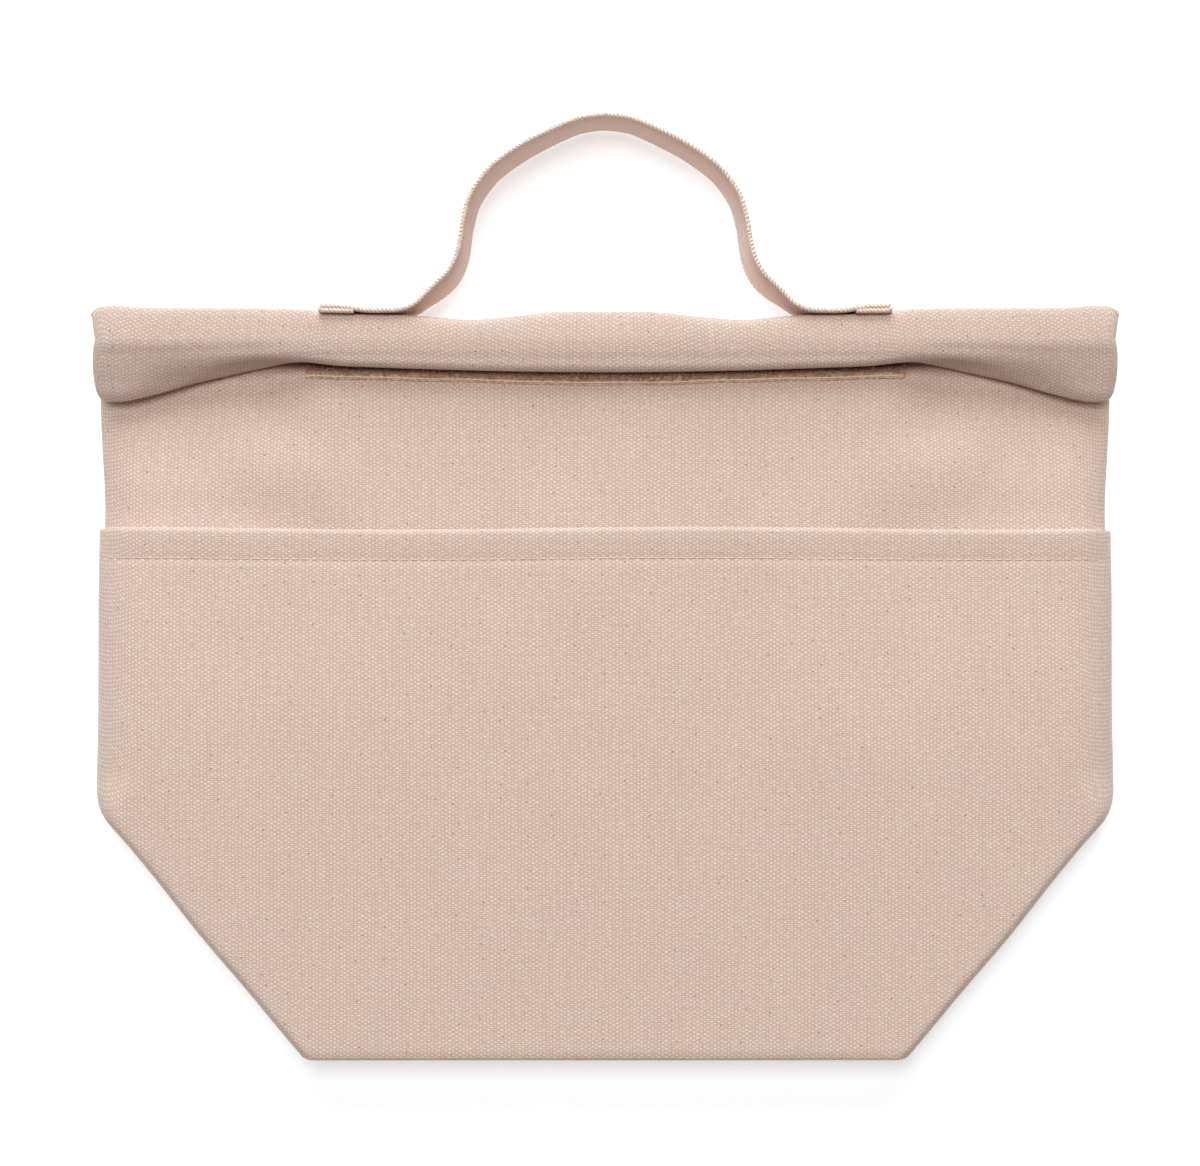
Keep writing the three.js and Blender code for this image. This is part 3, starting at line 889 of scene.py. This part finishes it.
pocket_outer = pocket_face(0)
pocket_cloth = threads(pocket_outer)
pocket = shell("front_pocket", pocket_outer, pocket_face(CANVAS), pocket_cloth)
pocket.data.materials.append(canvas)
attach(pocket, "bag")
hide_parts("pocket_panel")

# %% [markdown]
# ## The boxed base, folded up behind
#
# The base is a rectangle with a triangular ear at each side, where the gusset folds. It lies
# flat against the back, and each field is a quilted pad between its seams.

# %% Base
PAD_REACH = 3.0
PAD_START = 1.4
PAD_INSET = 1.4
PAD_SEAM = 1.6
PAD_GAP = 0.4
PAD_ROWS = 44
PINCH = 0.12


def pad(left, right, y):
    """A flat pad with rounded edges between two side lines, as its lower and upper faces."""
    width = np.maximum((right - left) / 2, 0.6)
    middle = (right + left) / 2
    x, share = spread(width, np.minimum(PAD_REACH, width * 0.9))
    near_end = np.minimum(y - y[0], y[-1] - y)
    share = share * edge_share(np.clip(near_end, 0, PAD_REACH), PAD_REACH)[:, None]
    half = base_thickness / 2
    x = x + middle[:, None]
    rows = np.broadcast_to(y[:, None], x.shape)
    rise = PINCH + (half - PINCH) * share
    return np.stack([x, rows, half - rise], 2), np.stack([x, rows, half + rise], 2)


def joined_shells(name, parts):
    """Several closed sheets as one piece."""
    made = [
        shell(f"{name}_{k}", lower, upper, threads(lower)) for k, (lower, upper) in enumerate(parts)
    ]
    with bpy.context.temp_override(active_object=made[0], selected_editable_objects=made):
        bpy.ops.object.join()
    made[0].name = name
    return made[0]


pad_turn = PAD_REACH * (1 - np.cos(EDGE_STEPS))
pad_middle = np.linspace(PAD_START + 2 * PAD_REACH, base_top - 2 * PAD_REACH, PAD_ROWS)
pad_y = np.concatenate([PAD_START + pad_turn, pad_middle, base_top - pad_turn[::-1]])
tip_slant = (bag_half - BASE_HALF) / (base_top - CORNER_HEIGHT)
upper_slant = bag_half - PAD_INSET - (pad_y - CORNER_HEIGHT) * tip_slant
tip_line = np.minimum(half_width(pad_y, PAD_INSET), upper_slant)
fold_line = np.full_like(pad_y, BASE_HALF - PAD_SEAM)
ear_start = fold_line + PAD_GAP
base_fields = ((-fold_line, fold_line), (ear_start, tip_line), (-tip_line, -ear_start))
base = joined_shells("folded_base", [pad(left, right, pad_y) for left, right in base_fields])
base.data.materials.append(canvas)
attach(base, "bag")
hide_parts("base_panel")
print("base", round(base_top, 1), "mm deep, tips at", round(float(tip_line.max()), 1))

# %% [markdown]
# ## The webbing handle
#
# One length of heavy cotton webbing makes the handle. Each end is folded under itself and sewn
# along the top edge of the roll, and between them it stands up on edge as an arch. Its flat side
# faces the hand, so from above mostly the beaded selvedge shows, and the upper selvedge leans
# out a little. A closed section is swept along the route, with the beads as small waves.

# %% Route of the webbing
webbing_low, webbing_high = span("handle_strap", 2)
WEBBING = webbing_high - webbing_low
WEBBING_MIDDLE = (webbing_high + webbing_low) / 2
WEBBING_THICK = 1.5
SELVEDGE = 1.5
BEAD_PITCH = 1.32
BEAD_HEIGHT = 0.34
BEAD_SWELL = 0.22
ROUTE_STEP = 0.33
FOOT_LOW = 249.85
FOOT_HIGH = 251.25
TUCK_END = 83.0
FOLD_X = 93.4
FOOT_ROUTE = [
    (88.5, 251.25), (84.0, 250.8), (79.0, 250.1), (73.0, 250.0),
    (67.5, 250.3), (63.2, 251.9), (59.2, 255.0),
]
ARCH_ROUTE = [
    (55.5, 258.0), (52.4, 260.8), (50.3, 263.6), (48.9, 266.4), (47.9, 269.3), (47.2, 272.6),
    (46.7, 276.2), (46.1, 280.0), (43.7, 288.2), (38.1, 296.2), (32.2, 301.1), (26.2, 305.0),
    (20.3, 308.1), (14.4, 310.9), (8.0, 313.3), (0.0, 314.3),
]


def handle_route():
    """Middle line of the webbing from one tucked end to the other, as evenly placed points."""
    turn = (FOOT_HIGH - FOOT_LOW) / 2
    bows = np.linspace(0, math.pi, 5)
    fold = [(FOLD_X + turn * math.sin(bow), FOOT_LOW + turn - turn * math.cos(bow)) for bow in bows]
    right = [(TUCK_END, FOOT_LOW), (TUCK_END + 5, FOOT_LOW)] + fold + FOOT_ROUTE + ARCH_ROUTE
    both = np.array(right + [(-x, y) for x, y in right[-2::-1]])
    u = np.linspace(0, len(both) - 1, 24 * len(both))
    smooth = between_rows(both[:, None, :].repeat(len(u), 1), u)[0]
    length = length_along(smooth)
    even = np.arange(0, length[-1], ROUTE_STEP)
    return np.stack([np.interp(even, length, smooth[:, k]) for k in (0, 1)], 1), even


def webbing_section():
    """Closed section of the webbing as (across the thickness, across the width, bead share)."""
    half_thick, half_wide = WEBBING_THICK / 2, WEBBING / 2
    start = half_wide - SELVEDGE
    face = [(half_thick, b, 0.0) for b in np.linspace(-start, start, 9)]
    neck = half_wide - SELVEDGE * 0.85
    edge = []
    for bow in np.linspace(0.15, math.pi - 0.15, 7):
        across = start + SELVEDGE * (0.35 + 0.65 * math.sin(bow))
        edge.append((half_thick * 1.12 * math.cos(bow), across, 1.0))
    upper = face + [(half_thick * 0.94, neck, 0.0)] + edge + [(-half_thick * 0.94, neck, 0.0)]
    return np.array(upper + [(-a, -b, c) for a, b, c in upper])


def sweep(name, rings, cloth):
    """A closed tube from rings of points, with flat ends."""
    index = np.arange(rings.size // 3).reshape(1, *rings.shape[:2])
    faces = ring_faces(index) + [index[0, 0, ::-1].tolist(), index[0, -1].tolist()]
    return add_mesh(name, rings.reshape(-1, 3), faces, cloth.reshape(-1, 3), EDGE_ANGLE + 10)


def webbing_rings(route, run, section):
    """The section at each point of the route, with its beads and the lean of the arch."""
    tangent = np.gradient(route, axis=0)
    tangent /= np.linalg.norm(tangent, axis=1)[:, None]
    outwards = np.stack([tangent[:, 1], -tangent[:, 0]], 1)
    on_arch = ramp(route[:, 1], ridge_face + 3.5, ridge_face + 10)
    lean = (on_arch * (1.7 - 1.2 * ramp(route[:, 1], 282, 312)))[:, None]
    phase = np.pi * run / BEAD_PITCH + 0.5 * np.sin(run / 2.9) + 0.4 * np.sin(run / 1.3 + 1)
    bead = (np.abs(np.sin(phase)) ** 0.7 - 0.6)[:, None] * section[:, 2]
    out, across = section[:, 0], section[:, 1]
    out = out + lean * across / WEBBING
    out = out + 0.12 * np.sin(run[:, None] / 9 + across / 8)
    out = out * (1 + BEAD_SWELL * bead)
    height = WEBBING_MIDDLE + across + BEAD_HEIGHT * bead * np.sign(across)
    place = route[:, None, :] + outwards[:, None, :] * out[..., None]
    return np.concatenate([place, height[..., None]], 2)


def selvedge_material(name, pale, gap):
    """The overcast edge of the webbing: pale thread beads as painted light, with thin gaps between
    them painted darker as painted shade.
    """
    material, tree, shader = new_material(name, rough=0.9, specular=0.2, sheen=0.2)
    place = cloth_place(tree)
    parts = add_node(tree, "ShaderNodeSeparateXYZ", {0: place}).outputs
    lean_over = calc(tree, "MULTIPLY_ADD", parts[0], 0.7, parts[1])
    wander = calc(tree, "MULTIPLY", noise(tree, place, 0.9, 2.0), 9.0)
    turn = calc(tree, "MULTIPLY_ADD", lean_over, 2 * math.pi / BEAD_PITCH, wander)
    raised = step(tree, calc(tree, "SINE", turn), -0.8, 0.35)
    fray = step(tree, noise(tree, place, 3.0, 3.0, 0.7), 0.25, 0.5, 0.4)
    # Pale beads as painted light, darker gaps between them as painted shade.
    colour = mix_colour(tree, calc(tree, "MULTIPLY", raised, fray), gap, pale)
    tree.links.new(colour, shader.inputs["Base Color"])
    add_bump(tree, shader, raised, 0.0002)
    return material


# The webbing's weave gets the same painted light on its thread tops and painted shade between them.
webbing_canvas = canvas_material("webbing", srgb(241, 219, 206), srgb(232, 202, 187), 0.95, 0.66)
# The selvedge paints its beads paler and the gaps between them darker, as painted light and shade.
webbing_edge = selvedge_material("webbing_selvedge", srgb(247, 234, 222), srgb(226, 194, 178))
route, run = handle_route()
section = webbing_section()
rings = webbing_rings(route, run, section)
strap_cloth = np.stack(np.broadcast_arrays(length_along(section[:, :2]), run[:, None], 0.0), 2)
handle = sweep("webbing_handle", rings, strap_cloth)
handle.data.materials.append(webbing_canvas)
handle.data.materials.append(webbing_edge)
on_edge = np.tile(section[:, 2] * np.roll(section[:, 2], -1) > 0, len(rings) - 1)
face_paint = np.concatenate([on_edge, [0, 0]]).astype(np.int32)
handle.data.polygons.foreach_set("material_index", face_paint)
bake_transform(handle)
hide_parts("handle_foot_left", "handle_foot_right", "handle_strap")
print("webbing", round(float(run[-1])), "mm long")

# %% [markdown]
# ## Hook and loop tape
#
# The brown loop tape is sewn flat on the front, and only its lower few millimetres show below the
# roll. Its pile is a felt of thin loops, so it is built of some thousands of them, each a small
# arch that stands at its own angle. The selvedge below the pile is flat, and the sewing thread
# runs along it as a pale line.

# %% Loop tape
TAPE_HALF = span("loop_tape", 0)[1]
TAPE_EDGE_AT = [0, 18, 42, 68, 90, 101]
TAPE_EDGE_Y = [226.0, 226.1, 226.9, 227.5, 228.1, 228.4]
TAPE_SEAT = 0.15
BACKING_SHARES = [0, 0.02, 0.06, 0.085, 0.1]
PILE_START = 0.12
PILE_AT = [0, 0.02, 0.085, 0.1, 0.14]
PILE_LEVELS = [0.25, 0.4, 0.4, 0.55, 0.85]
LOOPS_SHOWN = 9000
SHOWN_DEPTH = 7.5
LOOP_RADIUS = 0.06

tape_top = span("loop_tape", 1)[1]


def tape_seat(x, y):
    """Height of the front wall under the tape."""
    return band_thickness + tape_puff(x, y) + TAPE_SEAT


def tape_edge(x):
    """Lower edge of the tape, which is sewn on in a slight bow."""
    return through(TAPE_EDGE_AT, TAPE_EDGE_Y, np.abs(x)) + 0.08 * np.sin(np.asarray(x) / 4.3)


def tape_face(upper):
    """Upper or lower face of the tape."""
    x = np.linspace(-TAPE_HALF, TAPE_HALF, 270)[None, :]
    share = np.concatenate([BACKING_SHARES, np.linspace(PILE_START, 1, 30)])[:, None]
    y = tape_edge(x) + share * (tape_top - tape_edge(x))
    grain = 0.16 * np.sin(y * 5.1 + 2 * np.sin(x * 1.7)) * np.sin(x * 4.3)
    level = np.interp(share, PILE_AT, PILE_LEVELS) + grain * (share > PILE_START - 0.01)
    z = tape_seat(x, y) + (level if upper else 0)
    return np.stack([np.broadcast_to(x, y.shape), y, z], 2)


def brown_material(name, dark, pale, rough, grain):
    """Dyed pile or moulded plastic: two browns in a fine grain, which for the loop pile are lightened
    as painted light.
    """
    material, tree, shader = new_material(name, rough, specular=0.25, sheen=0.2)
    patch = step(tree, noise(tree, object_place(tree), grain, 4.0, 0.65), 0.36, 0.66)
    tree.links.new(mix_colour(tree, patch, dark, pale), shader.inputs["Base Color"])
    return material


def arches(name, feet, heights, spans, turns, radius, lean):
    """Many small thread loops as one mesh, each an arch of five links with three sides."""
    count = len(feet)
    bow = np.linspace(0, np.pi, 6)[:, None]
    side = np.stack([np.cos(turns), np.sin(turns), np.zeros(count)], 1)
    tilt = np.stack([-np.sin(turns) * lean, np.cos(turns) * lean, np.ones(count)], 1)
    tilt /= np.linalg.norm(tilt, axis=1)[:, None]
    outwards = (side * (spans / 2)[:, None])[:, None, :] * np.cos(bow)
    upwards = (tilt * heights[:, None])[:, None, :] * np.sin(bow)
    centre = feet[:, None, :] - outwards + upwards
    along = np.gradient(centre, axis=1)
    along /= np.linalg.norm(along, axis=2)[..., None]
    first = np.cross(along, np.cross(side, tilt)[:, None, :])
    first /= np.linalg.norm(first, axis=2)[..., None]
    second = np.cross(along, first)
    ring = (np.arange(3) * 2 * np.pi / 3)[:, None]
    around = first[:, :, None, :] * np.cos(ring) + second[:, :, None, :] * np.sin(ring)
    points = centre[:, :, None, :] + radius * around
    index = np.arange(points.size // 3).reshape(points.shape[:3])
    return add_mesh(name, points.reshape(-1, 3), ring_faces(index, True), None, ROUND_ANGLE)


# The loop tape's browns are paler than the tape itself: painted light that stands in for the light
# the roll keeps off its visible edge.
tape_brown_lightened = brown_material("loop_tape", srgb(206, 166, 142), srgb(242, 216, 197), 0.95, 900.0)
hook_brown = brown_material("hook_tape", srgb(78, 56, 45), srgb(112, 84, 70), 0.6, 1500.0)
tape_outer = tape_face(True)
tape_base = shell("loop_tape_base", tape_outer, tape_face(False), threads(tape_outer))
dice = np.random.default_rng(7)
loop_x = dice.uniform(-TAPE_HALF, TAPE_HALF, LOOPS_SHOWN)
loop_y = tape_edge(loop_x) + 1.5 + dice.uniform(0, SHOWN_DEPTH, LOOPS_SHOWN)
loop_feet = np.stack([loop_x, loop_y, tape_seat(loop_x, loop_y) + 0.7], 1)
under_roll = ramp(loop_y - tape_edge(loop_x), 1.6, 3.6)
loop_height = dice.uniform(0.4, 1.2, LOOPS_SHOWN) * (1 + 2.1 * under_roll)
loop_span = dice.uniform(0.4, 1.1, LOOPS_SHOWN)
loop_turn = dice.uniform(0, 2 * np.pi, LOOPS_SHOWN)
loop_lean = dice.normal(0, 0.5, LOOPS_SHOWN)
pile = arches(
    "loop_tape_pile", loop_feet, loop_height, loop_span, loop_turn, LOOP_RADIUS, loop_lean
)
for part in (tape_base, pile):
    part.data.materials.append(tape_brown_lightened)
    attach(part, "bag")
    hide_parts("loop_tape")
print("pile loops:", LOOPS_SHOWN)

# %% [markdown]
# ## Sewing thread
#
# Every seam that shows is lockstitch, in a thick cotton thread. Each stitch is its own short
# rounded piece that dips at both ends, which gives the small shadows between stitches that the
# photograph has along the pocket's hem.

# %% Stitches
HEM_THREAD = {"lift_off": 0.05, "pitch": 3.3, "fill": 0.86, "radius": 0.16}
TAPE_THREAD = {"lift_off": 0.12, "pitch": 2.6, "fill": 1.0, "radius": 0.3}
FOOT_THREAD = {"lift_off": 0.1, "pitch": 2.6, "fill": 0.80, "radius": 0.21}
STITCH_RINGS = 6
STITCH_SIDES = 6


def stitch_run(line, lift_off, pitch, fill, radius):
    """Centres of the rings of each stitch along a line on a surface, and how they bow."""
    line = np.asarray(line, float)
    length = length_along(line)
    starts = np.arange(0.4, length[-1] - pitch * fill, pitch)
    share = np.linspace(0, 1, STITCH_RINGS)
    spots = starts[:, None] + share[None, :] * pitch * fill
    centre = np.stack([np.interp(spots, length, line[:, k]) for k in range(3)], 2)
    return centre, np.sin(np.pi * (0.08 + 0.84 * share)) ** 0.5, lift_off, radius


def sew(name, runs, up, paint, body):
    """All the stitches of a seam as one mesh; up is the direction out of the cloth."""
    points, faces = [], []
    up = np.asarray(up, float)
    ring = (np.arange(STITCH_SIDES) * 2 * np.pi / STITCH_SIDES)[:, None]
    start = 0
    for centre, bow, lift_off, radius in runs:
        along = centre[:, -1] - centre[:, 0]
        along /= np.linalg.norm(along, axis=1)[:, None]
        side = np.cross(along, up)
        side /= np.linalg.norm(side, axis=1)[:, None]
        rise = (bow[None, :, None] * (radius + lift_off) - radius * 0.7) * up
        around = side[:, None, None, :] * np.cos(ring) + up * np.sin(ring)
        loops = (centre + rise)[:, :, None, :] + radius * bow[None, :, None, None] * around
        index = start + np.arange(loops.size // 3).reshape(loops.shape[:3])
        faces += ring_faces(index) + index[:, 0, ::-1].tolist() + index[:, -1].tolist()
        points.append(loops.reshape(-1, 3))
        start += loops.size // 3
    made = add_mesh(name, np.concatenate(points), faces, None, ROUND_ANGLE)
    made.data.materials.append(paint)
    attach(made, body)
    return made


def two_tone(name, first, second, grain, detail=3.0, **finish):
    """A finish of two close tones in a soft grain."""
    material, tree, shader = new_material(name, **finish)
    patch = noise(tree, object_place(tree), grain, detail)
    tree.links.new(mix_colour(tree, patch, first, second), shader.inputs["Base Color"])
    return material


def thread_material(name, colour):
    """Cotton thread, matt, with a fine twist."""
    pale = tuple(min(1.0, value * 1.12) for value in colour[:3]) + (1.0,)
    return two_tone(name, colour, pale, 2500.0, 2.0, rough=0.85, specular=0.2, sheen=0.3)


def row_near(grid, y):
    """The row of a grid of points that runs closest to a height, without its steep ends."""
    middle = grid.shape[1] // 2
    row = grid[np.abs(grid[:, middle, 1] - y).argmin()]
    return row[np.abs(row[:, 0]) < bag_half - 3.5]


thread_pale = thread_material("thread_pale", srgb(238, 222, 205))
thread_plain = thread_material("thread_plain", srgb(222, 200, 184))
hem_run = stitch_run(row_near(pocket_outer, hem_line), **HEM_THREAD)
sew("hem_stitches", [hem_run], (0, 0, 1), thread_plain, "bag")
seam_x = np.linspace(-TAPE_HALF + 0.8, TAPE_HALF - 0.8, 200)
seam_y = tape_edge(seam_x) + 0.8
seam_line = np.stack([seam_x, seam_y, tape_seat(seam_x, seam_y) + 0.5], 1)
sew("tape_stitches", [stitch_run(seam_line, **TAPE_THREAD)], (0, 0, 1), thread_pale, "bag")
print("stitches along the hem:", len(hem_run[0]))

# %% Stitches of the handle's feet
FOOT_BOX = (FOLD_X - 16.5, FOLD_X - 2)
FOOT_INSET = 4.5


def foot_seam(side):
    """A sewn box with a cross, on the outer face of one foot."""
    near, far = FOOT_BOX
    low, high = webbing_low + FOOT_INSET, webbing_high - FOOT_INSET
    corners = [(near, low), (far, low), (far, high), (near, high), (near, low), (far, high)]
    lines = list(zip(corners, corners[1:])) + [((near, high), (far, low))]
    foot = np.array(FOOT_ROUTE[::-1])
    share = np.linspace(0, 1, 20)
    runs = []
    for start, end in lines:
        x = start[0] + (end[0] - start[0]) * share
        z = start[1] + (end[1] - start[1]) * share
        y = np.interp(x, foot[:, 0], foot[:, 1]) + WEBBING_THICK / 2
        runs.append(stitch_run(np.stack([side * x, y, z], 1), **FOOT_THREAD))
    return runs


sew("foot_stitches", foot_seam(-1) + foot_seam(1), (0, 1, 0), thread_pale, "ridge")

# %% [markdown]
# ## Layers inside
#
# The foam, the silvered film and the binding of the seams stay as the frame has them. They show
# only through the mouth of the pocket or when the bag is cut open, and get plain finishes.

# %% Finishes of the inner layers
inner_finish = {
    "foam": two_tone("foam", srgb(238, 236, 228), srgb(248, 247, 242), 600.0, rough=0.8),
    "lining": two_tone(
        "lining", srgb(190, 193, 197), srgb(214, 216, 219), 60.0, rough=0.35, metal=0.8
    ),
    "binding": two_tone("binding", srgb(214, 188, 170), srgb(228, 206, 190), 500.0, rough=0.9),
    "hook_tape": hook_brown,
}
for name, node in frame["nodes"].items():
    finish = next((paint for key, paint in inner_finish.items() if key in name), canvas)
    node.data.materials.clear()
    node.data.materials.append(finish)
